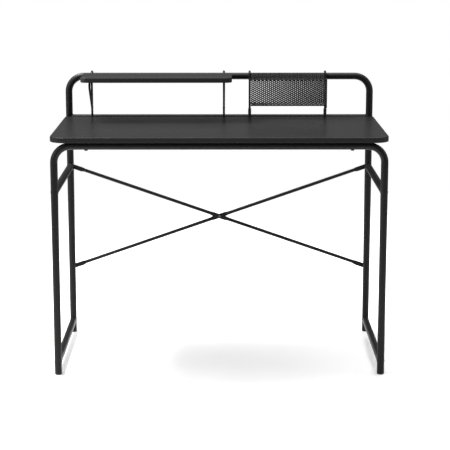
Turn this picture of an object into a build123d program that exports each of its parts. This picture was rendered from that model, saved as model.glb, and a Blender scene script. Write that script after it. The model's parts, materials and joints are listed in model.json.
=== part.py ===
from build123d import *
import os

# Writing desk in black tube: two welded side frames, a front rail, a back hoop that stands
# above the desktop, a crossed brace, and a small shelf and a mesh pocket hung on the hoop.
# +X is to the right, +Y to the rear, +Z up. Millimetres. The origin is on the floor, in the
# middle of the whole desk.

# ---- Desktop ----
desktop_length = 1004.0
desktop_depth = 480.0
desktop_thickness = 16.0
desktop_height = 727.0          # floor to working surface
desktop_corner_radius = 45.0    # the two front corners, seen from above
desktop_edge_radius = 2.0

# ---- Frame tube ----
tube_diameter = 22.0
tube_wall = 1.2
bend_radius = 50.0              # on the tube's centre line
side_overhang = 2.0             # desktop past the legs, each side
front_overhang = 20.0           # desktop's front edge past the front legs' centres
rear_gap = 1.0                  # desktop's rear edge to the rear rail
hoop_rise = 130.7               # working surface to the hoop's top tube, centre
upper_side_rail_drop = 166.0    # working surface to the upper side rails, centre
lower_side_rail_height = 40.0   # floor to the lower side rails, centre
weld_gap = 0.05                 # between a coped end and the tube that it is welded to

# ---- Joints of the frame ----
spigot_length = 60.0
spigot_wall = 2.0
spigot_clearance = 0.1          # radial
spigot_bend_margin = 4.0        # end of a spigot to the start of the tube's bend
front_screw_offset = 12.0       # front rail's end to its screw
front_screw_end_gap = 1.0       # screw's tip to the far end of its insert
hoop_seam_drop = 37.0           # working surface to the joint between hoop and rear leg
hoop_screw_offset = 15.0        # that joint to its screw, downwards
insert_radius = 5.0
insert_length = 12.0

# ---- Screws: M6 dome heads in the frame, pan heads in the boards ----
screw_radius = 3.0
screw_hole_clearance = 0.2      # radial
screw_thread_clearance = 0.05   # radial, where the screw is driven into a thread
dome_radius = 5.5
dome_height = 3.3
socket_radius = 2.3             # across the hexagon's corners, halved
socket_depth = 1.8
dome_share = 0.85               # of the domed head's height, rounded off
short_screw_length = 9.0
wood_screw_radius = 1.9
wood_screw_head_radius = 3.6
wood_screw_head_height = 2.2
wood_screw_head_share = 0.6     # of the pan head's height, rounded off
wood_screw_tip_radius = 0.3
wood_screw_bite = 10.0          # length in the board
pilot_end_clearance = 0.2       # past the wood screw's tip

# ---- Plates that hold the desktop to the rear rail ----
tab_spacing = 600.0
tab_width = 30.0
tab_thickness = 3.0
tab_reach = 56.0                # rear rail's centre to the plate's front end
tab_heel = 4.0                  # plate behind the rear rail's centre
tab_screw_inset = 9.0
tab_screw_pitch = 20.0

# ---- Feet ----
foot_height = 5.0
foot_edge_radius = 2.4
foot_stem_length = 20.0
foot_stem_clearance = 0.1       # radial

# ---- Crossed brace behind the rear legs ----
brace_diameter = 11.0
brace_top_drop = 166.0          # working surface to the upper screws
brace_bottom_height = 220.0     # floor to the lower screws
brace_flat_thickness = 4.0
brace_end_width = 14.0
brace_end_length = 38.0         # screw to the end of the flattened part
brace_middle_width = 13.0
brace_middle_margin = 3.36      # flat past the other brace's flat, each end
brace_transition = 9.0
nut_radius = 5.7
nut_height = 4.5

# ---- Hooks on the hoop's top tube ----
wire_diameter = 7.0
hook_clearance = 1.5            # hoop's tube to the inside of a hook's bend
hook_play = 0.3                 # under the hook's crown
hook_tail = 14.0                # behind the tube, below the crown's centre
foot_play = 0.3                 # between a hanging piece and the desktop

# ---- Shelf ----
shelf_length = 478.0
shelf_depth = 142.0
shelf_thickness = 16.0
shelf_corner_radius = 20.0
shelf_edge_radius = 2.0
shelf_inset = 51.0              # left rear leg's centre to the shelf's left end
shelf_play = 0.3                # shelf's rear edge to the hooks
bracket_inset = 25.0            # shelf's ends to its hooks
strut_reach = 125.0             # hoop's centre to the strut's front corner
strut_bend_radius = 12.0
strut_foot_rise = 28.0          # working surface to the strut's lower end
shelf_plate_width = 34.0
shelf_plate_length = 80.0
shelf_plate_thickness = 2.0
shelf_plate_offset = 8.0        # hook's front to the plate
shelf_screw_side = 10.5
shelf_screw_inset = 12.0

# ---- Mesh pocket ----
pocket_span = 245.0             # between the two hangers
pocket_inset = 145.4            # right rear leg's centre to the right hanger
pocket_depth = 58.0             # hangers to front posts, centres
pocket_rim_drop = 4.7           # hoop's top tube to the front rim, centres
pocket_height = 82.5            # front rim to front bottom bar, centres
pocket_post_radius = 2.0
pocket_post_tail = 8.0          # post below the front bottom bar
pocket_bar_radius = 1.75
pocket_plate_thickness = 1.5
mesh_thickness = 1.0
mesh_clearance = 0.2
mesh_pitch_long = 12.5
mesh_pitch_short = 6.3
mesh_hole_ratio = 0.7           # hole to cell, along either diagonal
mesh_border = 1.2
sleeve_radius = 5.0
sleeve_length = 27.0
sleeve_base = 1.5
sleeve_foot_round = 1.0
sleeve_rim_round = 0.8

# ---- Places that follow from the sizes above ----
tube_radius = tube_diameter / 2
tube_bore = tube_radius - tube_wall
wire_radius = wire_diameter / 2
brace_radius = brace_diameter / 2
screw_hole = screw_radius + screw_hole_clearance
screw_thread = screw_radius + screw_thread_clearance
wood_screw_hole = wood_screw_radius + screw_hole_clearance

leg_x = desktop_length / 2 - side_overhang - tube_radius
leg_spacing = desktop_depth + rear_gap + tube_radius - front_overhang
rear_reach = tube_radius + brace_radius + brace_flat_thickness + dome_height
desk_reach = desktop_depth + rear_gap + tube_radius
rear_y = (desk_reach - rear_reach) / 2
front_y = rear_y - leg_spacing
desktop_front_y = rear_y - desk_reach
desktop_rear_y = desktop_front_y + desktop_depth

desktop_bottom = desktop_height - desktop_thickness
front_rail_z = desktop_bottom - tube_radius
rear_rail_z = desktop_bottom + tube_radius
hoop_z = desktop_height + hoop_rise
hoop_top = hoop_z + tube_radius
hoop_seam_z = desktop_height - hoop_seam_drop
upper_side_rail_z = desktop_height - upper_side_rail_drop
front_seam_x = leg_x - bend_radius - spigot_bend_margin - spigot_length / 2
front_screw_x = front_seam_x - front_screw_offset
hoop_screw_z = hoop_seam_z - hoop_screw_offset

brace_y = rear_y + tube_radius + brace_radius
brace_top_z = desktop_height - brace_top_drop
brace_rise = brace_top_z - brace_bottom_height
brace_crossing_z = (brace_top_z + brace_bottom_height) / 2
brace_middle_length = brace_middle_width * 2 * leg_x / brace_rise + 2 * brace_middle_margin

hook_inner_radius = tube_radius + hook_clearance
hook_radius = hook_inner_radius + wire_radius
hook_z = hoop_top + hook_play - hook_inner_radius
hook_front_y = rear_y - hook_radius
hanging_foot_z = desktop_height + foot_play

shelf_left = -leg_x + shelf_inset
shelf_right = shelf_left + shelf_length
shelf_rear_y = hook_front_y - wire_radius - shelf_play
shelf_bottom = hoop_top - shelf_thickness
bracket_left_x = shelf_left + bracket_inset
bracket_right_x = shelf_right - bracket_inset
strut_z = shelf_bottom - shelf_plate_thickness - wire_radius

pocket_right_x = leg_x - pocket_inset
pocket_left_x = pocket_right_x - pocket_span
pocket_middle_x = (pocket_left_x + pocket_right_x) / 2
pocket_front_y = hook_front_y - pocket_depth
pocket_rim_z = hoop_z - pocket_rim_drop
pocket_bottom_z = pocket_rim_z - pocket_height
pocket_rear_rim_z = hoop_top - pocket_bar_radius
mesh_length = pocket_span - wire_diameter - 2 * mesh_clearance

rear_mesh_y = hook_front_y - pocket_bar_radius
front_mesh_y = pocket_front_y + pocket_bar_radius + mesh_thickness

BASE = (Align.CENTER, Align.CENTER, Align.MIN)
HANG = (Align.CENTER, Align.CENTER, Align.MAX)
FORWARD = (Align.CENTER, Align.MAX, Align.CENTER)


def rod(start, end, radius):
    """A straight round bar from one point to another."""
    run = Vector(*end) - Vector(*start)
    return extrude(Plane(origin=start, z_dir=run) * Circle(radius), amount=run.length)


def tube(start, end):
    """A straight piece of the frame's tube."""
    return rod(start, end, tube_radius) - rod(start, end, tube_bore)


def bar_along(path, radius):
    """A round bar that follows a path of lines and arcs."""
    return sweep(Plane(origin=path @ 0, z_dir=path % 0) * Circle(radius), path=path)


def tube_along(path):
    """The frame's tube, bent along a path."""
    return bar_along(path, tube_radius) - bar_along(path, tube_bore)


def group(solids):
    """Separate solids that share one node."""
    return Compound(children=solids)


def leg_keepout(x, y):
    """The space that an upright tube takes, for the coped ends welded to it."""
    return rod((x, y, -tube_diameter), (x, y, hoop_top + tube_diameter), tube_radius + weld_gap)


# ---- Screws ----
def dome_screw(seat, outward, length):
    """M6 screw with a domed head and a hexagon socket. The seat is under the head."""
    head = Cylinder(dome_radius, dome_height, align=BASE)
    head = fillet(head.edges().group_by(Axis.Z)[-1], dome_height * dome_share)
    head -= Pos(0, 0, dome_height) * extrude(RegularPolygon(socket_radius, 6), amount=-socket_depth)
    shank = Cylinder(screw_radius, length, align=HANG)
    return Plane(origin=seat, z_dir=outward) * (head + shank)


def wood_screw(seat, length):
    """Pan-head screw driven upwards into a board. The seat is the top of its head."""
    head = Cylinder(wood_screw_head_radius, wood_screw_head_height, align=HANG)
    head = fillet(head.edges().group_by(Axis.Z)[0], wood_screw_head_height * wood_screw_head_share)
    shank = Cylinder(wood_screw_radius, length - wood_screw_radius, align=BASE)
    point = Cone(wood_screw_radius, wood_screw_tip_radius, wood_screw_radius, align=BASE)
    return Pos(*seat) * (head + shank + Pos(0, 0, length - wood_screw_radius) * point)


def wood_screw_pilot(x, y, bottom):
    """The hole that a wood screw cuts in a board, from the board's underside."""
    return Pos(x, y, bottom) * Cylinder(wood_screw_radius, wood_screw_bite + pilot_end_clearance, align=BASE)


# ---- Desktop and what holds it ----
def board(length, depth, thickness, corner_radius, edge_radius):
    """A flat board with two round front corners and eased edges, centred, front to -Y."""
    blank = Box(length, depth, thickness)
    front = blank.edges().filter_by(Axis.Z).group_by(Axis.Y)[0]
    blank = fillet(front, corner_radius)
    rims = blank.faces().sort_by(Axis.Z)
    return fillet(rims[0].edges() + rims[-1].edges(), edge_radius)


def tab_positions():
    return [-tab_spacing / 2, tab_spacing / 2]


def tab_screw_points():
    front = rear_y - tab_reach + tab_screw_inset
    return [(x, y) for x in tab_positions() for y in (front, front + tab_screw_pitch)]


def make_desktop():
    middle_y = (desktop_front_y + desktop_rear_y) / 2
    middle_z = desktop_height - desktop_thickness / 2
    top = board(desktop_length, desktop_depth, desktop_thickness, desktop_corner_radius, desktop_edge_radius)
    top = Pos(0, middle_y, middle_z) * top
    for x in (-front_screw_x, front_screw_x):
        top -= Pos(x, front_y, desktop_bottom) * Cylinder(insert_radius, insert_length, align=BASE)
    for x, y in tab_screw_points():
        top -= wood_screw_pilot(x, y, desktop_bottom)
    return top


def make_inserts():
    """Threaded inserts in the desktop's underside, for the two front screws."""
    blank = Cylinder(insert_radius, insert_length, align=BASE)
    blank -= Cylinder(screw_thread, insert_length, align=BASE)
    return group([Pos(x, front_y, desktop_bottom) * blank for x in (-front_screw_x, front_screw_x)])


def make_tab(x):
    """A plate welded under the rear rail, with two screw holes."""
    length = tab_reach + tab_heel
    middle_y = rear_y + tab_heel - length / 2
    plate = Pos(x, middle_y, desktop_bottom - tab_thickness / 2) * Box(tab_width, length, tab_thickness)
    plate = fillet(plate.edges().filter_by(Axis.Z).group_by(Axis.Y)[0], tab_screw_inset / 2)
    for hole_x, hole_y in tab_screw_points():
        plate -= Pos(hole_x, hole_y, desktop_bottom) * Cylinder(wood_screw_hole, 4 * tab_thickness)
    return plate


def make_tab_screws():
    seat_z = desktop_bottom - tab_thickness
    length = tab_thickness + wood_screw_bite
    return group([wood_screw((x, y, seat_z), length) for x, y in tab_screw_points()])


# ---- Front of the frame ----
def make_front_leg(side):
    """Upright and bend in one tube, up to the joint with the front rail."""
    points = [(side * leg_x, front_y, foot_height), (side * leg_x, front_y, front_rail_z),
              (side * front_seam_x, front_y, front_rail_z)]
    return tube_along(FilletPolyline(*points, radius=bend_radius))


def front_screw_holes():
    return [Pos(x, front_y, front_rail_z) * Cylinder(screw_hole, 2 * tube_diameter)
            for x in (-front_screw_x, front_screw_x)]


def make_front_rail():
    rail = tube((-front_seam_x, front_y, front_rail_z), (front_seam_x, front_y, front_rail_z))
    for hole in front_screw_holes():
        rail -= hole
    return rail


def spigot(centre, direction):
    """A short tube that fits inside two tube ends."""
    half = Vector(*direction) * (spigot_length / 2)
    start = Vector(*centre) - half
    end = Vector(*centre) + half
    outer = tube_bore - spigot_clearance
    return rod(tuple(start), tuple(end), outer) - rod(tuple(start), tuple(end), outer - spigot_wall)


def make_front_spigots():
    pieces = []
    for side, hole in zip((-1, 1), front_screw_holes()):
        pieces.append(spigot((side * front_seam_x, front_y, front_rail_z), (1, 0, 0)) - hole)
    return group(pieces)


def make_front_screws():
    """From under the front rail, through the spigots and into the desktop's inserts."""
    length = tube_diameter + insert_length - front_screw_end_gap
    seat_z = front_rail_z - tube_radius
    seats = [(x, front_y, seat_z) for x in (-front_screw_x, front_screw_x)]
    return group([dome_screw(seat, (0, 0, -1), length) for seat in seats])


# ---- Rear of the frame ----
def rear_screw_hole(x, z, radius):
    """A hole through the rear wall only of an upright."""
    return rod((x, rear_y, z), (x, rear_y + tube_diameter, z), radius)


def make_rear_leg(side):
    x = side * leg_x
    leg = tube((x, rear_y, foot_height), (x, rear_y, hoop_seam_z))
    leg -= rear_screw_hole(x, hoop_screw_z, screw_hole)
    for z in (brace_top_z, brace_bottom_height):
        leg -= rear_screw_hole(x, z, screw_thread)
    return leg


def make_back_hoop():
    """Both rear uprights above the desktop and the top tube, bent from one length."""
    points = [(-leg_x, rear_y, hoop_seam_z), (-leg_x, rear_y, hoop_z),
              (leg_x, rear_y, hoop_z), (leg_x, rear_y, hoop_seam_z)]
    return tube_along(FilletPolyline(*points, radius=bend_radius))


def make_hoop_spigots():
    pieces = []
    for x in (-leg_x, leg_x):
        hole = rear_screw_hole(x, hoop_screw_z, screw_thread)
        pieces.append(spigot((x, rear_y, hoop_seam_z), (0, 0, 1)) - hole)
    return group(pieces)


def make_hoop_screws():
    seats = [(x, rear_y + tube_radius, hoop_screw_z) for x in (-leg_x, leg_x)]
    return group([dome_screw(seat, (0, 1, 0), short_screw_length) for seat in seats])


def make_rear_rail():
    rail = tube((-leg_x, rear_y, rear_rail_z), (leg_x, rear_y, rear_rail_z))
    return rail - leg_keepout(-leg_x, rear_y) - leg_keepout(leg_x, rear_y)


def make_side_rail(side, z):
    x = side * leg_x
    rail = tube((x, front_y, z), (x, rear_y, z))
    return rail - leg_keepout(x, front_y) - leg_keepout(x, rear_y)


def make_foot(side, y):
    """Plug with a rounded sole and a stem that is pushed into the tube."""
    sole = Cylinder(tube_radius, foot_height, align=BASE)
    sole = fillet(sole.edges().group_by(Axis.Z)[0], foot_edge_radius)
    stem = Pos(0, 0, foot_height) * Cylinder(tube_bore - foot_stem_clearance, foot_stem_length, align=BASE)
    return Pos(side * leg_x, y, 0) * (sole + stem)


# ---- Crossed brace ----
def brace_section(x, height, thickness, depth):
    """A flat section across a brace, in the brace's own frame."""
    place = Plane(origin=(x, 0, depth), x_dir=(0, 1, 0), z_dir=(1, 0, 0))
    return place * Rectangle(height, thickness)


def brace_round(x):
    return Plane(origin=(x, 0, 0), x_dir=(0, 1, 0), z_dir=(1, 0, 0)) * Circle(brace_radius)


def make_brace(side, layer):
    """A rod with flattened ends and middle. layer is -1 in front and 1 behind at the crossing."""
    middle = (0, brace_y, brace_crossing_z)
    length = Vector(2 * leg_x, 0, brace_rise).length
    end_depth = -brace_radius + brace_flat_thickness / 2
    middle_depth = layer * brace_flat_thickness / 2
    flat_end = length / 2 - brace_end_length
    round_outer = flat_end - brace_transition
    round_inner = brace_middle_length / 2 + brace_transition
    brace = Pos(0, 0, middle_depth) * Box(brace_middle_length, brace_middle_width, brace_flat_thickness)
    for end in (-1, 1):
        tongue = Box(brace_end_length, brace_end_width, brace_flat_thickness)
        tongue = Pos(end * (flat_end + brace_end_length / 2), 0, end_depth) * tongue
        tip = Pos(end * length / 2, 0, end_depth) * Cylinder(brace_end_width / 2, brace_flat_thickness)
        outer = loft([brace_section(end * flat_end, brace_end_width, brace_flat_thickness, end_depth),
                      brace_round(end * round_outer)])
        shaft = rod((end * round_outer, 0, 0), (end * round_inner, 0, 0), brace_radius)
        inner = loft([brace_round(end * round_inner),
                      brace_section(end * brace_middle_length / 2, brace_middle_width,
                                    brace_flat_thickness, middle_depth)])
        brace += [tongue, tip, outer, shaft, inner]
        brace -= Pos(end * length / 2, 0, 0) * Cylinder(screw_hole, brace_diameter * 2)
    brace -= Cylinder(screw_hole, brace_diameter * 2)
    lie = Plane(origin=middle, x_dir=(2 * leg_x, 0, side * brace_rise), z_dir=(0, 1, 0))
    return lie * brace


def make_brace_screws():
    seat_y = rear_y + tube_radius + brace_flat_thickness
    seats = [(x, seat_y, z) for x in (-leg_x, leg_x) for z in (brace_top_z, brace_bottom_height)]
    length = brace_flat_thickness + short_screw_length
    return group([dome_screw(seat, (0, 1, 0), length) for seat in seats])


def make_brace_bolt():
    seat = (0, brace_y + brace_flat_thickness, brace_crossing_z)
    return dome_screw(seat, (0, 1, 0), 2 * brace_flat_thickness + nut_height)


def make_brace_nut():
    nut = extrude(RegularPolygon(nut_radius, 6), amount=nut_height)
    nut -= Cylinder(screw_thread, nut_height, align=BASE)
    return Plane(origin=(0, brace_y - brace_flat_thickness, brace_crossing_z), z_dir=(0, -1, 0)) * nut


# ---- Shelf ----
def make_hook(x, foot_z, radius=wire_radius):
    """A wire that hooks over the hoop and runs down in front of it."""
    back = (x, rear_y + hook_radius, hook_z)
    crown = (x, rear_y, hook_z + hook_radius)
    front = (x, hook_front_y, hook_z)
    tail = Line((x, rear_y + hook_radius, hook_z - hook_tail), back)
    path = tail + ThreePointArc(back, crown, front) + Line(front, (x, hook_front_y, foot_z))
    return bar_along(path, radius)


def make_strut(x):
    """A bent wire under the shelf, welded to the front of its hook at both ends."""
    foot = desktop_height + strut_foot_rise
    points = [(x, hook_front_y, strut_z), (x, rear_y - strut_reach, strut_z), (x, hook_front_y, foot)]
    wire = bar_along(FilletPolyline(*points, radius=strut_bend_radius), wire_radius)
    front_half = Pos(x, hook_front_y, 0) * Box(desktop_length, desktop_depth, 4 * hoop_z, align=FORWARD)
    hook_keepout = rod((x, hook_front_y, 0), (x, hook_front_y, 2 * hoop_z), wire_radius + weld_gap)
    return (wire & front_half) - hook_keepout


def shelf_plate_rear_y():
    return hook_front_y - wire_radius - shelf_plate_offset


def shelf_screw_points(x):
    rear = shelf_plate_rear_y() - shelf_screw_inset
    front = shelf_plate_rear_y() - shelf_plate_length + shelf_screw_inset
    return [(x - shelf_screw_side, rear), (x + shelf_screw_side, front)]


def make_shelf_plate(x):
    """A plate welded on the strut's level run and screwed to the shelf's underside."""
    middle_y = shelf_plate_rear_y() - shelf_plate_length / 2
    plate = Box(shelf_plate_width, shelf_plate_length, shelf_plate_thickness)
    plate = fillet(plate.edges().filter_by(Axis.Z), shelf_screw_inset / 2)
    plate = Pos(x, middle_y, shelf_bottom - shelf_plate_thickness / 2) * plate
    for hole_x, hole_y in shelf_screw_points(x):
        plate -= Pos(hole_x, hole_y, shelf_bottom) * Cylinder(wood_screw_hole, 4 * shelf_plate_thickness)
    return plate


def make_shelf():
    middle_x = (shelf_left + shelf_right) / 2
    middle_y = shelf_rear_y - shelf_depth / 2
    top = board(shelf_length, shelf_depth, shelf_thickness, shelf_corner_radius, shelf_edge_radius)
    top = Pos(middle_x, middle_y, shelf_bottom + shelf_thickness / 2) * top
    for bracket_x in (bracket_left_x, bracket_right_x):
        for x, y in shelf_screw_points(bracket_x):
            top -= wood_screw_pilot(x, y, shelf_bottom)
    return top


def make_shelf_screws():
    seat_z = shelf_bottom - shelf_plate_thickness
    length = shelf_plate_thickness + wood_screw_bite
    places = shelf_screw_points(bracket_left_x) + shelf_screw_points(bracket_right_x)
    return group([wood_screw((x, y, seat_z), length) for x, y in places])


# ---- Mesh pocket ----
def make_sleeve(x):
    """A plastic cap over the lower end of a hanger."""
    cap = Cylinder(sleeve_radius, sleeve_length, align=BASE)
    cap = fillet(cap.edges().group_by(Axis.Z)[0], sleeve_foot_round)
    cap = fillet(cap.edges().group_by(Axis.Z)[-1], sleeve_rim_round)
    bore = Pos(0, 0, sleeve_base) * Cylinder(wire_radius + weld_gap, sleeve_length, align=BASE)
    return Pos(x, hook_front_y, hanging_foot_z) * (cap - bore)


def make_post(x):
    """A front corner upright of the pocket."""
    bottom = pocket_bottom_z - pocket_post_tail
    top = pocket_rim_z + pocket_bar_radius
    return rod((x, pocket_front_y, bottom), (x, pocket_front_y, top), pocket_post_radius)


def pocket_keepout(x, y, radius):
    return rod((x, y, 0), (x, y, 2 * hoop_z), radius + weld_gap)


def make_end_plate(x):
    """The pocket's end: a plate from the hanger to the front post."""
    bottom = pocket_bottom_z - pocket_post_tail
    top = pocket_rim_z + pocket_bar_radius
    middle = Pos(x, (hook_front_y + pocket_front_y) / 2, (bottom + top) / 2)
    plate = middle * Box(pocket_plate_thickness, pocket_depth, top - bottom)
    plate -= pocket_keepout(x, hook_front_y, wire_radius)
    return plate - pocket_keepout(x, pocket_front_y, pocket_post_radius)


def make_bar(y, z, upright_radius):
    """A level wire between two uprights of the pocket."""
    bar = rod((pocket_left_x, y, z), (pocket_right_x, y, z), pocket_bar_radius)
    for x in (pocket_left_x, pocket_right_x):
        bar -= pocket_keepout(x, y, upright_radius)
    return bar


def make_rear_rim():
    """A level wire across the hangers' bends, notched where it is welded to them."""
    start = (pocket_left_x - wire_radius, hook_front_y, pocket_rear_rim_z)
    end = (pocket_right_x + wire_radius, hook_front_y, pocket_rear_rim_z)
    rim = rod(start, end, pocket_bar_radius)
    for x in (pocket_left_x, pocket_right_x):
        rim -= make_hook(x, pocket_bottom_z, wire_radius + weld_gap)
    return rim


def diamond(x, y):
    """The outline of one hole of the mesh."""
    long_half = mesh_pitch_long / 2 * mesh_hole_ratio
    short_half = mesh_pitch_short / 2 * mesh_hole_ratio
    corners = [(x - long_half, y), (x, y - short_half), (x + long_half, y), (x, y + short_half)]
    return Wire.make_polygon(corners, close=True)


def mesh_sheet(length, height):
    """A sheet with diamond holes in staggered rows, flat on XY and centred."""
    room_x = length / 2 - mesh_border - mesh_pitch_long / 2 * mesh_hole_ratio
    room_y = height / 2 - mesh_border - mesh_pitch_short / 2 * mesh_hole_ratio
    rows = int(height / mesh_pitch_short) + 1
    columns = int(length / mesh_pitch_long) + 1
    holes = []
    for row in range(-rows, rows + 1):
        for column in range(-columns, columns + 1):
            x = (column + row % 2 / 2) * mesh_pitch_long
            y = row * mesh_pitch_short / 2
            if abs(x) <= room_x and abs(y) <= room_y:
                holes.append(diamond(x, y))
    outline = Wire.make_polygon([(-length / 2, -height / 2), (length / 2, -height / 2),
                                 (length / 2, height / 2), (-length / 2, height / 2)], close=True)
    return extrude(Face(outline, holes), amount=mesh_thickness)


def make_upright_mesh(face_y, bottom_z, top_z):
    """A mesh panel whose front face is at face_y - mesh_thickness and whose rear face is at face_y."""
    sheet = mesh_sheet(mesh_length, top_z - bottom_z)
    place = Plane(origin=(pocket_middle_x, face_y, (bottom_z + top_z) / 2), x_dir=(1, 0, 0), z_dir=(0, -1, 0))
    return place * sheet


def make_floor_mesh():
    rear = rear_mesh_y - mesh_thickness - mesh_clearance
    front = front_mesh_y + mesh_clearance
    sheet = mesh_sheet(mesh_length, rear - front)
    return Pos(pocket_middle_x, (rear + front) / 2, pocket_bottom_z + pocket_bar_radius) * sheet


# ---- Every piece by name ----
nodes = {
    "desktop": make_desktop(),
    "desktop_inserts": make_inserts(),
    "front_rail": make_front_rail(),
    "front_rail_spigots": make_front_spigots(),
    "front_rail_screws": make_front_screws(),
    "back_hoop": make_back_hoop(),
    "back_hoop_spigots": make_hoop_spigots(),
    "back_hoop_screws": make_hoop_screws(),
    "rear_rail": make_rear_rail(),
    "desktop_left_tab": make_tab(tab_positions()[0]),
    "desktop_right_tab": make_tab(tab_positions()[1]),
    "desktop_tab_screws": make_tab_screws(),
    "rising_brace": make_brace(1, 1),
    "falling_brace": make_brace(-1, -1),
    "brace_screws": make_brace_screws(),
    "brace_bolt": make_brace_bolt(),
    "brace_nut": make_brace_nut(),
    "shelf_board": make_shelf(),
    "shelf_screws": make_shelf_screws(),
    "pocket_front_rim": make_bar(pocket_front_y, pocket_rim_z, pocket_post_radius),
    "pocket_front_bar": make_bar(pocket_front_y, pocket_bottom_z, pocket_post_radius),
    "pocket_rear_rim": make_rear_rim(),
    "pocket_rear_bar": make_bar(hook_front_y, pocket_bottom_z, wire_radius),
    "pocket_front_mesh": make_upright_mesh(front_mesh_y, pocket_bottom_z, pocket_rim_z),
    "pocket_rear_mesh": make_upright_mesh(rear_mesh_y, pocket_bottom_z, pocket_rear_rim_z),
    "pocket_floor_mesh": make_floor_mesh(),
}
for name, side in (("left", -1), ("right", 1)):
    nodes[f"front_{name}_leg"] = make_front_leg(side)
    nodes[f"rear_{name}_leg"] = make_rear_leg(side)
    nodes[f"{name}_upper_side_rail"] = make_side_rail(side, upper_side_rail_z)
    nodes[f"{name}_lower_side_rail"] = make_side_rail(side, lower_side_rail_height)
    nodes[f"front_{name}_foot"] = make_foot(side, front_y)
    nodes[f"rear_{name}_foot"] = make_foot(side, rear_y)
for name, x in (("left", bracket_left_x), ("right", bracket_right_x)):
    nodes[f"shelf_{name}_hook"] = make_hook(x, hanging_foot_z)
    nodes[f"shelf_{name}_strut"] = make_strut(x)
    nodes[f"shelf_{name}_plate"] = make_shelf_plate(x)
for name, x in (("left", pocket_left_x), ("right", pocket_right_x)):
    nodes[f"pocket_{name}_hanger"] = make_hook(x, hanging_foot_z + sleeve_base)
    nodes[f"pocket_{name}_sleeve"] = make_sleeve(x)
    nodes[f"pocket_{name}_end"] = make_end_plate(x)
    nodes[f"pocket_{name}_post"] = make_post(x)

os.makedirs("parts", exist_ok=True)
for node, shape in nodes.items():
    export_step(shape, f"parts/{node}.step")
print(len(nodes), "nodes")
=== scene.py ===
import json
from math import cos, pi, radians, sqrt

import bmesh
import bpy
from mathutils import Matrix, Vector


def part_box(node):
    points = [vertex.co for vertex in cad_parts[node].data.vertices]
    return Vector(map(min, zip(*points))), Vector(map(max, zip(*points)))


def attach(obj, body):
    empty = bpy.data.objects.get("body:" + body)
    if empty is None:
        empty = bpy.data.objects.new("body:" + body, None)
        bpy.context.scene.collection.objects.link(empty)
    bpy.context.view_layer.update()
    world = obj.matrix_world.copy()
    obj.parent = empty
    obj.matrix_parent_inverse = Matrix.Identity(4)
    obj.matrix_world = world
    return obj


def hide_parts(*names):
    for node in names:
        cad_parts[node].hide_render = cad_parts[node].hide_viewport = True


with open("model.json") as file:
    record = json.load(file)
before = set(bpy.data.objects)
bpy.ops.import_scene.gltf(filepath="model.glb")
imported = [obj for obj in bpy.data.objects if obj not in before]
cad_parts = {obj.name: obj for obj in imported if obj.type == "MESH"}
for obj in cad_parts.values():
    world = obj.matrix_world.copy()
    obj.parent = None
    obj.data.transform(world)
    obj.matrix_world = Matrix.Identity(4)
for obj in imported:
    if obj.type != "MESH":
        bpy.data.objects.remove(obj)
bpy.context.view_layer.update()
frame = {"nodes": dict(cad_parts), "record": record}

# ---- Camera: in front of the desk and above it, looking down ----
CAMERA_PLACE = (0.0, -4.456, 1.344)      # metres
CAMERA_TILT = 10.74          # degrees below the horizon
CAMERA_TURN = -0.227         # degrees about the vertical; negative is to the right
CAMERA_LENS = 115.7          # mm
CAMERA_SENSOR = 36.0         # mm
CAMERA_SHIFT = -0.06         # of the sensor's width

# ---- Floor and background ----
FLOOR_RADIUS = 3.2           # metres
FLOOR_SEGMENTS = 96
FLOOR_FADE = 1.7             # metres from the middle, where the floor starts to fade out
FLOOR_GONE = 0.97            # share of the radius at which it has faded out
FLOOR_GREY = 0.9
FLOOR_ROUGHNESS = 0.9
FLOOR_SPECULAR = 0.1
FLOOR_GLOW = 0.20            # keeps the wide shadow under the desk pale
BACKGROUND_GREY = 1.0        # what the camera sees behind the desk
ROOM_GREY = 0.14             # what the room around gives as light

# ---- Materials ----
COLOUR_NOISE = (0.35, 0.65)      # the part of a noise that colours spread over
ROUGHNESS_NOISE = (0.3, 0.7)     # and the part that roughness spreads over
UPRIGHT_SLOPE = (0.5, 0.75)      # |z| of a board's normal: edging below the first, laminate past the second
EDGING_ROUGHNESS = 0.5
MIX_SOCKETS = {"RGBA": (6, 7, 2), "FLOAT": (2, 3, 0)}    # a Mix node's two inputs and its output
PEEL_SCALE = 0.35                # orange peel's noise scale, as a share of the grain's

# ---- Boards, in metres ----
DESKTOP_CORNER = 0.045       # radius of the front corners, seen from above
SHELF_CORNER = 0.020
CORNER_SEGMENTS = 28
BOARD_EDGE = 0.002           # rounding of the plastic edging
EDGE_SEGMENTS = 6
BOARD_SMOOTH = 20.0          # degrees: the rounds turn smooth, and the groove's edges stay crisp
SEAM_HALF = 0.0003           # half the width of the groove between laminate and edging
SEAM_DEPTH = 0.00015
HOLE_SEGMENTS = 48
LEVEL_FACE = 0.999           # |z| of a normal, above which a face is level

# ---- Expanded metal, in metres ----
MESH_LONG = 0.0125           # from one diamond to the next, the long way
MESH_SHORT = 0.0063          # and the short way
MESH_STRAND = 0.0013         # half of a strand's width
MESH_LEAN = 0.0006           # how far a strand's edges lean in and out
MESH_GAUGE = 0.0005          # thickness of a strand
MESH_SPARE = 3               # diamonds beyond the sheet's size, which are trimmed off

# ---- Weld beads: radius in metres, and how many ripples go round ----
TUBE_BEAD = (0.0017, 14)
STRUT_BEAD = (0.0009, 6)
BAR_BEAD = (0.0007, 5)
BEAD_ROUNDNESS = 2           # Blender's resolution of the bead's round section
BEAD_RIPPLE = 0.12           # how much thicker and thinner a bead gets along its way
BEAD_THIN = 0.55             # share of its thickness at the upright's sides, where it is thinnest
STRUT_STRETCH = 1.3          # of the bead where a strut meets its hook at a slope

TINY = 1e-5                  # metres: nearer than this is the same place


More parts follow.
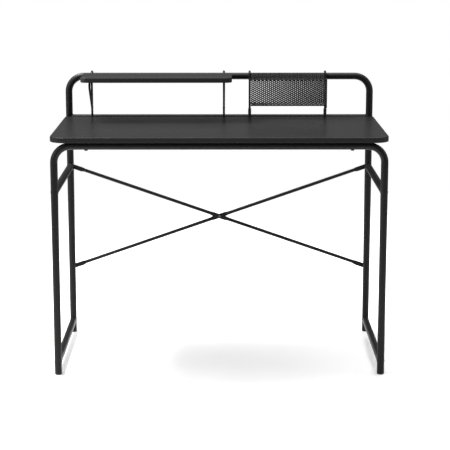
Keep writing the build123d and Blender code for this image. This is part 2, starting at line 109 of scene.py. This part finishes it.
def map_range(nodes, from_range, to_range):
    """A Map Range node, which turns one range of values into another."""
    node = nodes.new("ShaderNodeMapRange")
    node.inputs["From Min"].default_value, node.inputs["From Max"].default_value = from_range
    node.inputs["To Min"].default_value, node.inputs["To Max"].default_value = to_range
    return node


def grey(level):
    return (level,) * 3


# ================= Camera, light and floor =================
def make_camera():
    data = bpy.data.cameras.new("camera")
    data.lens = CAMERA_LENS
    data.sensor_width = CAMERA_SENSOR
    data.shift_y = CAMERA_SHIFT
    camera = bpy.data.objects.new("camera", data)
    bpy.context.scene.collection.objects.link(camera)
    camera.location = CAMERA_PLACE
    camera.rotation_euler = (radians(90 - CAMERA_TILT), 0, radians(CAMERA_TURN))
    bpy.context.scene.camera = camera


def make_softbox(name, place, target, size, power):
    """A square-cornered light that faces its target: metres and watts."""
    data = bpy.data.lights.new(name, "AREA")
    data.shape = "RECTANGLE"
    data.size, data.size_y = size
    data.energy = power
    lamp = bpy.data.objects.new(name, data)
    bpy.context.scene.collection.objects.link(lamp)
    lamp.location = place
    lamp.rotation_euler = (Vector(target) - Vector(place)).to_track_quat("-Z", "Y").to_euler()


def make_room():
    """A white background for the camera and a dimmer even light for the object."""
    world = bpy.data.worlds.new("studio")
    bpy.context.scene.world = world
    world.use_nodes = True
    nodes, links = world.node_tree.nodes, world.node_tree.links
    nodes.clear()
    output = nodes.new("ShaderNodeOutputWorld")
    mix = nodes.new("ShaderNodeMixShader")
    seen = nodes.new("ShaderNodeBackground")
    lit = nodes.new("ShaderNodeBackground")
    path = nodes.new("ShaderNodeLightPath")
    seen.inputs["Color"].default_value = (*grey(BACKGROUND_GREY), 1)
    lit.inputs["Color"].default_value = (*grey(ROOM_GREY), 1)
    links.new(path.outputs["Is Camera Ray"], mix.inputs[0])
    links.new(lit.outputs[0], mix.inputs[1])
    links.new(seen.outputs[0], mix.inputs[2])
    links.new(mix.outputs[0], output.inputs["Surface"])


def make_floor():
    """A pale round floor that fades out towards its rim."""
    bpy.ops.mesh.primitive_circle_add(vertices=FLOOR_SEGMENTS, radius=FLOOR_RADIUS, fill_type="NGON",
                                      location=(0, 0, 0))
    floor = bpy.context.object
    floor.name = "floor"
    material = bpy.data.materials.new("floor_paper")
    material.use_nodes = True
    nodes, links = material.node_tree.nodes, material.node_tree.links
    shader = nodes["Principled BSDF"]
    shader.inputs["Base Color"].default_value = (*grey(FLOOR_GREY), 1)
    shader.inputs["Roughness"].default_value = FLOOR_ROUGHNESS
    shader.inputs["Specular IOR Level"].default_value = FLOOR_SPECULAR
    shader.inputs["Emission Color"].default_value = (1, 1, 1, 1)
    shader.inputs["Emission Strength"].default_value = FLOOR_GLOW
    place = nodes.new("ShaderNodeTexCoord")
    away = nodes.new("ShaderNodeVectorMath")
    away.operation = "LENGTH"
    fade = map_range(nodes, (FLOOR_FADE, FLOOR_RADIUS * FLOOR_GONE), (1.0, 0.0))
    fade.interpolation_type = "SMOOTHSTEP"
    links.new(place.outputs["Object"], away.inputs[0])
    links.new(away.outputs["Value"], fade.inputs["Value"])
    links.new(fade.outputs["Result"], shader.inputs["Alpha"])
    floor.data.materials.append(material)


make_camera()
make_room()
make_softbox("top_softbox", place=(-0.2, 0.7, 3.4), target=(0, 0.1, 0), size=(4.6, 3.6), power=240)
make_softbox("key_softbox", place=(-1.1, 0.25, 2.5), target=(0, 0.1, 0.7), size=(0.65, 0.65), power=88)
make_softbox("left_softbox", place=(-3.2, -1.4, 1.7), target=(0, 0, 0.45), size=(1.8, 2.2), power=60)
make_softbox("right_softbox", place=(3.2, -0.6, 1.7), target=(0, 0, 0.45), size=(1.6, 2.2), power=28)
make_floor()
bpy.context.scene.view_settings.view_transform = "Standard"


# ================= Materials =================
def start_material(name, colour, roughness, specular, metallic=0.0):
    material = bpy.data.materials.new(name)
    material.use_nodes = True
    shader = material.node_tree.nodes["Principled BSDF"]
    shader.inputs["Base Color"].default_value = (*colour, 1)
    shader.inputs["Roughness"].default_value = roughness
    shader.inputs["Specular IOR Level"].default_value = specular
    shader.inputs["Metallic"].default_value = metallic
    return material


def add_noise(material, scale, detail, stretch=(1, 1, 1)):
    """A noise on the object's own coordinates, stretched along an axis if asked."""
    nodes, links = material.node_tree.nodes, material.node_tree.links
    place = nodes.new("ShaderNodeTexCoord")
    mapping = nodes.new("ShaderNodeMapping")
    mapping.inputs["Scale"].default_value = stretch
    noise = nodes.new("ShaderNodeTexNoise")
    noise.inputs["Scale"].default_value = scale
    noise.inputs["Detail"].default_value = detail
    links.new(place.outputs["Object"], mapping.inputs["Vector"])
    links.new(mapping.outputs["Vector"], noise.inputs["Vector"])
    return noise


def vary_colour(material, noise, dark, light):
    nodes, links = material.node_tree.nodes, material.node_tree.links
    ramp = nodes.new("ShaderNodeValToRGB")
    for stop, position, colour in zip(ramp.color_ramp.elements, COLOUR_NOISE, (dark, light)):
        stop.position = position
        stop.color = (*colour, 1)
    links.new(noise.outputs["Fac"], ramp.inputs["Fac"])
    links.new(ramp.outputs["Color"], nodes["Principled BSDF"].inputs["Base Color"])


def vary_roughness(material, noise, low, high):
    nodes, links = material.node_tree.nodes, material.node_tree.links
    spread = map_range(nodes, ROUGHNESS_NOISE, (low, high))
    links.new(noise.outputs["Fac"], spread.inputs["Value"])
    links.new(spread.outputs["Result"], nodes["Principled BSDF"].inputs["Roughness"])


def add_bumps(material, steps):
    """Chained bumps, one for each (noise, strength, height in metres)."""
    nodes, links = material.node_tree.nodes, material.node_tree.links
    last = None
    for noise, strength, height in steps:
        bump = nodes.new("ShaderNodeBump")
        bump.inputs["Strength"].default_value = strength
        bump.inputs["Distance"].default_value = height
        links.new(noise.outputs["Fac"], bump.inputs["Height"])
        if last:
            links.new(last.outputs["Normal"], bump.inputs["Normal"])
        last = bump
    links.new(last.outputs["Normal"], nodes["Principled BSDF"].inputs["Normal"])


def powder_coat(name, dark, light, grain, roughness, specular):
    """Satin powder coat: a fine grain over a faint orange peel."""
    material = start_material(name, dark, roughness, specular)
    peel = add_noise(material, scale=grain * PEEL_SCALE, detail=2.0)
    fine = add_noise(material, scale=grain, detail=3.0)
    cloud = add_noise(material, scale=14.0, detail=4.0)
    vary_colour(material, fine, dark, light)
    vary_roughness(material, cloud, roughness - 0.05, roughness + 0.06)
    add_bumps(material, [(peel, 0.25, 0.0004), (fine, 0.35, 0.00015)])
    return material


def find_edging(material):
    """1 on a board's upright sides, 0 on its top and underside."""
    nodes, links = material.node_tree.nodes, material.node_tree.links
    surface = nodes.new("ShaderNodeTexCoord")
    split = nodes.new("ShaderNodeSeparateXYZ")
    level = nodes.new("ShaderNodeMath")
    level.operation = "ABSOLUTE"
    edging = map_range(nodes, UPRIGHT_SLOPE, (1.0, 0.0))
    links.new(surface.outputs["Normal"], split.inputs[0])
    links.new(split.outputs["Z"], level.inputs[0])
    links.new(level.outputs[0], edging.inputs["Value"])
    return edging.outputs["Result"]


def blend_socket(material, socket, kind, where, other):
    """Mixes what a shader socket is fed with into another value, where a mask says so."""
    nodes, links = material.node_tree.nodes, material.node_tree.links
    shader = nodes["Principled BSDF"]
    fed_by = shader.inputs[socket].links[0].from_socket
    mix = nodes.new("ShaderNodeMix")
    mix.data_type = kind
    first, second, result = MIX_SOCKETS[kind]
    mix.inputs[second].default_value = other
    links.new(where, mix.inputs[0])
    links.new(fed_by, mix.inputs[first])
    links.new(mix.outputs[result], shader.inputs[socket])


def laminate(name, edging_colour_and_painted_light):
    """Black laminate with a fine pearl surface and a duller plastic edging."""
    material = start_material(name, (0.011, 0.011, 0.0113), roughness=0.30, specular=0.10)
    pearl = add_noise(material, scale=1300.0, detail=2.0)
    pores = add_noise(material, scale=650.0, detail=3.0)
    cloud = add_noise(material, scale=5.0, detail=5.0)
    vary_colour(material, pores, dark=(0.0085, 0.0085, 0.0088), light=(0.013, 0.013, 0.0134))
    vary_roughness(material, cloud, low=0.27, high=0.34)
    edging = find_edging(material)
    # On the desktop this is the plastic edging's own colour. On the shelf it is lighter, which is painted
    # light on its front edge.
    blend_socket(material, "Base Color", "RGBA", edging, (*edging_colour_and_painted_light, 1))
    blend_socket(material, "Roughness", "FLOAT", edging, EDGING_ROUGHNESS)
    add_bumps(material, [(pores, 0.16, 0.00006), (pearl, 0.25, 0.00003)])
    return material


def moulded_plastic(name):
    """Black plastic with a fine moulded grain."""
    material = start_material(name, grey(0.012), roughness=0.5, specular=0.4)
    grain = add_noise(material, scale=2200.0, detail=2.0)
    cloud = add_noise(material, scale=60.0, detail=3.0)
    vary_colour(material, cloud, dark=grey(0.010), light=grey(0.016))
    vary_roughness(material, cloud, low=0.45, high=0.56)
    add_bumps(material, [(grain, 0.4, 0.0001)])
    return material


def plated(name, dark, light, roughness):
    """Plated or drawn metal, with a fine lengthwise grain."""
    material = start_material(name, dark, roughness, specular=0.5, metallic=1.0)
    grain = add_noise(material, scale=900.0, detail=3.0, stretch=(1.0, 1.0, 0.15))
    vary_colour(material, grain, dark, light)
    vary_roughness(material, grain, roughness - 0.06, roughness + 0.08)
    add_bumps(material, [(grain, 0.2, 0.0001)])
    return material


FINISHES = {
    "black_board": laminate("black_board", edging_colour_and_painted_light=(0.018, 0.018, 0.0184)),
    # Painted light: the shelf's edging gets a lighter colour than the desktop's, though both boards are one
    # material. The lift stands in for light on the shelf's front edge.
    "black_board_painted_light_edging": laminate("black_board_painted_light_edging", edging_colour_and_painted_light=(0.032, 0.032, 0.0327)),
    "black_tube": powder_coat("black_tube", dark=grey(0.007), light=grey(0.011), grain=1500.0,
                              roughness=0.42, specular=0.16),
    "black_wire": powder_coat("black_wire", dark=grey(0.005), light=grey(0.008), grain=1900.0,
                              roughness=0.40, specular=0.10),
    # Painted highlight: this black coat gets a much lighter colour than the tubes' black. It stands in for
    # the light that the leaning strands catch from above.
    "black_mesh": powder_coat("black_mesh", dark=grey(0.080), light=grey(0.100), grain=2100.0,
                              roughness=0.36, specular=0.5),
    "black_screws": plated("black_screws", dark=(0.05, 0.05, 0.052), light=(0.09, 0.09, 0.092),
                           roughness=0.36),
    "black_plastic": moulded_plastic("black_plastic"),
    "spigot_steel": plated("spigot_steel", dark=(0.42, 0.42, 0.43), light=(0.55, 0.55, 0.56),
                           roughness=0.32),
    "insert_brass": plated("insert_brass", dark=(0.70, 0.50, 0.22), light=(0.82, 0.62, 0.32),
                           roughness=0.3),
}


def finish_cad_nodes():
    for part in frame["record"]["subparts"]:
        data = frame["nodes"][part["node"]].data
        data.materials.clear()
        data.materials.append(FINISHES[part["material_slot"]])


finish_cad_nodes()


# ================= Modelling by hand =================
def deselect():
    if bpy.context.object and bpy.context.object.mode != "OBJECT":
        bpy.ops.object.mode_set(mode="OBJECT")
    bpy.ops.object.select_all(action="DESELECT")


def take(piece):
    """Selects one piece alone and makes it active."""
    deselect()
    piece.select_set(True)
    bpy.context.view_layer.objects.active = piece


def settle(piece):
    """Puts a piece's place, turn and scale into its mesh."""
    take(piece)
    bpy.ops.object.transform_apply(location=True, rotation=True, scale=True)


def pick(piece, mode, wanted):
    """In edit mode, selects the vertices, edges or faces for which wanted(element) is true."""
    bpy.ops.mesh.select_mode(type=mode)
    bpy.ops.mesh.select_all(action="DESELECT")
    shape = bmesh.from_edit_mesh(piece.data)
    elements = {"VERT": shape.verts, "EDGE": shape.edges, "FACE": shape.faces}[mode]
    for element in elements:
        if wanted(element):
            element.select_set(True)
    shape.select_flush_mode()
    bmesh.update_edit_mesh(piece.data)


def apply_modifier(piece, kind, **settings):
    take(piece)
    modifier = piece.modifiers.new(kind.lower(), kind)
    for name, value in settings.items():
        setattr(modifier, name, value)
    bpy.ops.object.modifier_apply(modifier=modifier.name)


# ================= Boards =================
def round_edges(piece, wanted, radius, segments):
    """Bevels the edges for which wanted(edge) is true."""
    take(piece)
    bpy.ops.object.mode_set(mode="EDIT")
    pick(piece, "EDGE", wanted)
    bpy.ops.mesh.bevel(offset=radius, segments=segments, affect="EDGES", clamp_overlap=False)
    bpy.ops.object.mode_set(mode="OBJECT")


def cut_seam(piece, upward):
    """Sinks a fine groove round the board's top or underside, where the edging starts."""
    take(piece)
    bpy.ops.object.mode_set(mode="EDIT")
    pick(piece, "FACE", lambda face: face.normal.z * upward > LEVEL_FACE)
    bpy.ops.mesh.inset(thickness=SEAM_HALF, depth=-SEAM_DEPTH)
    bpy.ops.mesh.inset(thickness=SEAM_HALF, depth=SEAM_DEPTH)
    bpy.ops.object.mode_set(mode="OBJECT")


def drill(piece, centre, radius, low, high):
    """Cuts a round hole into a piece, from its underside at low up to high."""
    deselect()
    bpy.ops.mesh.primitive_cylinder_add(vertices=HOLE_SEGMENTS, radius=radius, depth=2 * (high - low),
                                        location=(centre[0], centre[1], low))
    cutter = bpy.context.object
    apply_modifier(piece, "BOOLEAN", operation="DIFFERENCE", object=cutter, solver="EXACT")
    bpy.data.objects.remove(cutter)


def make_board(node, corner, body, finish):
    """A laminated board with round front corners and a rounded plastic edging."""
    low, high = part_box(node)
    deselect()
    bpy.ops.mesh.primitive_cube_add(size=1, location=(low + high) / 2, scale=high - low)
    board = bpy.context.object
    board.name = f"{node}_laminated"
    settle(board)

    def front_upright(edge):
        start, end = (vertex.co for vertex in edge.verts)
        return abs(start.z - end.z) > TINY and abs(start.y - low.y) < TINY

    round_edges(board, front_upright, corner, CORNER_SEGMENTS)
    for level in (low.z, high.z):
        round_edges(board, lambda edge: all(abs(vertex.co.z - level) < TINY for vertex in edge.verts),
                    BOARD_EDGE, EDGE_SEGMENTS)
    cut_seam(board, 1)
    cut_seam(board, -1)
    bpy.ops.object.shade_smooth_by_angle(angle=radians(BOARD_SMOOTH))
    board.data.materials.append(FINISHES[finish])
    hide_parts(node)
    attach(board, body)
    return board


def make_boards():
    """The desktop, with holes for its two inserts, and the shelf."""
    desktop = make_board("desktop", DESKTOP_CORNER, "frame", "black_board")
    low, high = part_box("desktop_inserts")
    radius = (high.y - low.y) / 2
    for x in (low.x + radius, high.x - radius):
        drill(desktop, (x, low.y + radius), radius, low.z, high.z)
    # The shelf's finish holds painted light: its edging colour is lighter than the desktop's.
    make_board("shelf_board", SHELF_CORNER, "shelf", "black_board_painted_light_edging")


make_boards()


# ================= Expanded metal =================
def make_mesh_cell():
    """One diamond of expanded metal: four leaning strands round a hole."""
    deselect()
    bpy.ops.mesh.primitive_circle_add(vertices=4, radius=1.0, fill_type="NGON", location=(0, 0, 0))
    cell = bpy.context.object
    cell.scale = (MESH_LONG / 2, MESH_SHORT / 2, 1)
    settle(cell)
    bpy.ops.object.mode_set(mode="EDIT")
    bpy.ops.mesh.select_all(action="SELECT")
    bpy.ops.mesh.inset(thickness=MESH_STRAND)
    bpy.ops.mesh.delete(type="FACE")
    for side in (1, -1):
        pick(cell, "VERT", lambda v: abs(v.co.x) < TINY and v.co.y * side > TINY
             and abs(v.co.y) < MESH_SHORT / 2 - TINY)
        bpy.ops.transform.translate(value=(0, 0, -side * MESH_LEAN))
    bpy.ops.object.mode_set(mode="OBJECT")
    return cell


def trim(piece, axis, place, keep_side):
    """Cuts a flat piece off square at a place along an axis."""
    take(piece)
    bpy.ops.object.mode_set(mode="EDIT")
    bpy.ops.mesh.select_all(action="SELECT")
    point = [0, 0, 0]
    normal = [0, 0, 0]
    point[axis] = place
    normal[axis] = keep_side
    bpy.ops.mesh.bisect(plane_co=point, plane_no=normal, clear_inner=True)
    bpy.ops.object.mode_set(mode="OBJECT")


def make_mesh_sheet(name, length, height):
    """A trimmed sheet of expanded metal, flat on XY and centred."""
    sheet = make_mesh_cell()
    sheet.name = name
    columns = int(length / MESH_LONG) + MESH_SPARE
    rows = int(height / MESH_SHORT) + MESH_SPARE
    second = sheet.copy()
    second.data = sheet.data.copy()
    bpy.context.scene.collection.objects.link(second)
    second.location = (MESH_LONG / 2, MESH_SHORT / 2, 0)
    settle(second)
    deselect()
    second.select_set(True)
    sheet.select_set(True)
    bpy.context.view_layer.objects.active = sheet
    bpy.ops.object.join()
    for count, step in ((columns, (MESH_LONG, 0, 0)), (rows, (0, MESH_SHORT, 0))):
        apply_modifier(sheet, "ARRAY", count=count, use_relative_offset=False, use_constant_offset=True,
                       constant_offset_displace=step, use_merge_vertices=True, merge_threshold=TINY)
    sheet.location = (-(columns // 2) * MESH_LONG, -(rows // 2) * MESH_SHORT, 0)
    settle(sheet)
    for axis, half in ((0, length / 2), (1, height / 2)):
        trim(sheet, axis, -half, 1)
        trim(sheet, axis, half, -1)
    bpy.ops.object.mode_set(mode="EDIT")
    bpy.ops.mesh.select_all(action="SELECT")
    bpy.ops.mesh.remove_doubles(threshold=TINY)
    bpy.ops.mesh.normals_make_consistent(inside=False)
    bpy.ops.object.mode_set(mode="OBJECT")
    apply_modifier(sheet, "SOLIDIFY", thickness=MESH_GAUGE, offset=0)
    return sheet


def hang_mesh(node, upright):
    """Puts a sheet of expanded metal in the place of the pocket's flat one."""
    low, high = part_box(node)
    size = high - low
    sheet = make_mesh_sheet(node.replace("mesh", "expanded_metal"), size.x, size.z if upright else size.y)
    if upright:
        sheet.rotation_euler = (radians(90), 0, 0)
    sheet.location = (low + high) / 2
    settle(sheet)
    sheet.data.materials.append(FINISHES["black_mesh"])
    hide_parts(node)
    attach(sheet, "pocket")


hang_mesh("pocket_front_mesh", True)
hang_mesh("pocket_rear_mesh", True)
hang_mesh("pocket_floor_mesh", False)


# ================= Weld beads =================
def make_bead(rail_radius, upright_radius, size):
    """A rippled bead round the end of a level bar along Y, welded to an upright at the origin."""
    bead_radius, ripples = size
    deselect()
    bpy.ops.mesh.primitive_circle_add(vertices=4 * ripples, radius=rail_radius, fill_type="NOTHING",
                                      location=(0, 0, 0), rotation=(radians(90), 0, 0))
    bead = bpy.context.object
    settle(bead)
    for vertex in bead.data.vertices:
        vertex.co.y = sqrt(max(upright_radius ** 2 - vertex.co.x ** 2, 0.0))
    bpy.ops.object.convert(target="CURVE")
    bead.data.bevel_depth = bead_radius
    bead.data.bevel_resolution = BEAD_ROUNDNESS
    for count, point in enumerate(bead.data.splines[0].points):
        depth_on_upright = point.co.y / upright_radius
        ripple = 1.0 + BEAD_RIPPLE * cos(count * pi / 2)
        point.radius = ripple * (BEAD_THIN + (1 - BEAD_THIN) * depth_on_upright)
    bpy.ops.object.convert(target="MESH")
    bpy.ops.object.mode_set(mode="EDIT")
    bpy.ops.mesh.select_all(action="SELECT")
    bpy.ops.mesh.remove_doubles(threshold=TINY)
    bpy.ops.mesh.normals_make_consistent(inside=False)
    bpy.ops.object.mode_set(mode="OBJECT")
    bpy.ops.object.shade_smooth()
    return bead


def put_bead(bead, name, place, turn, body, slot, stretch=1.0):
    """Copies a bead to a joint, turned about Z, and stretched upright on a sloping bar."""
    copy = bead.copy()
    copy.data = bead.data.copy()
    copy.name = name
    bpy.context.scene.collection.objects.link(copy)
    copy.location = place
    copy.rotation_euler = (0, 0, radians(turn))
    copy.scale = (1, 1, stretch)
    settle(copy)
    copy.data.materials.append(FINISHES[slot])
    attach(copy, body)


def middle(node):
    low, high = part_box(node)
    return (low + high) / 2


def weld_frame():
    """The side rails to the legs, and the rear rail to the hoop."""
    low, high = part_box("rear_rail")
    radius = (high.z - low.z) / 2
    bead = make_bead(radius, radius, TUBE_BEAD)
    for side in ("left", "right"):
        front, rear = middle(f"front_{side}_foot"), middle(f"rear_{side}_foot")
        for level in ("upper", "lower"):
            height = middle(f"{side}_{level}_side_rail").z
            for end, foot, turn in (("front", front, 0), ("rear", rear, 180)):
                place = (foot.x, foot.y, height)
                put_bead(bead, f"{side}_{level}_{end}_weld", place, turn, "frame", "black_tube")
        place = (rear.x, rear.y, middle("rear_rail").z)
        turn = -90 if side == "left" else 90
        put_bead(bead, f"rear_rail_{side}_weld", place, turn, "frame", "black_tube")
    bpy.data.objects.remove(bead)


def weld_shelf():
    """Each strut to the front of its hook, at the level end and at the sloping end."""
    for side in ("left", "right"):
        strut_low, strut_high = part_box(f"shelf_{side}_strut")
        hook_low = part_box(f"shelf_{side}_hook")[0]
        radius = (strut_high.x - strut_low.x) / 2
        bead = make_bead(radius, radius, STRUT_BEAD)
        x = (strut_low.x + strut_high.x) / 2
        y = hook_low.y + radius
        upper = (x, y, strut_high.z - radius)
        lower = (x, y, strut_low.z + radius * STRUT_STRETCH)
        put_bead(bead, f"shelf_{side}_upper_weld", upper, 180, "shelf", "black_wire")
        put_bead(bead, f"shelf_{side}_lower_weld", lower, 180, "shelf", "black_wire", STRUT_STRETCH)
        bpy.data.objects.remove(bead)


def weld_pocket():
    """The front rim and the two bottom bars to the pocket's uprights."""
    for bar, upright in (("front_rim", "post"), ("front_bar", "post"), ("rear_bar", "hanger")):
        low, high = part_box(f"pocket_{bar}")
        height = (low.z + high.z) / 2
        for side, turn in (("left", -90), ("right", 90)):
            upright_low, upright_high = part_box(f"pocket_{side}_{upright}")
            upright_radius = (upright_high.x - upright_low.x) / 2
            bead = make_bead((high.z - low.z) / 2, upright_radius, BAR_BEAD)
            place = (upright_low.x + upright_radius, (low.y + high.y) / 2, height)
            put_bead(bead, f"pocket_{bar}_{side}_weld", place, turn, "pocket", "black_wire")
            bpy.data.objects.remove(bead)


weld_frame()
weld_shelf()
weld_pocket()
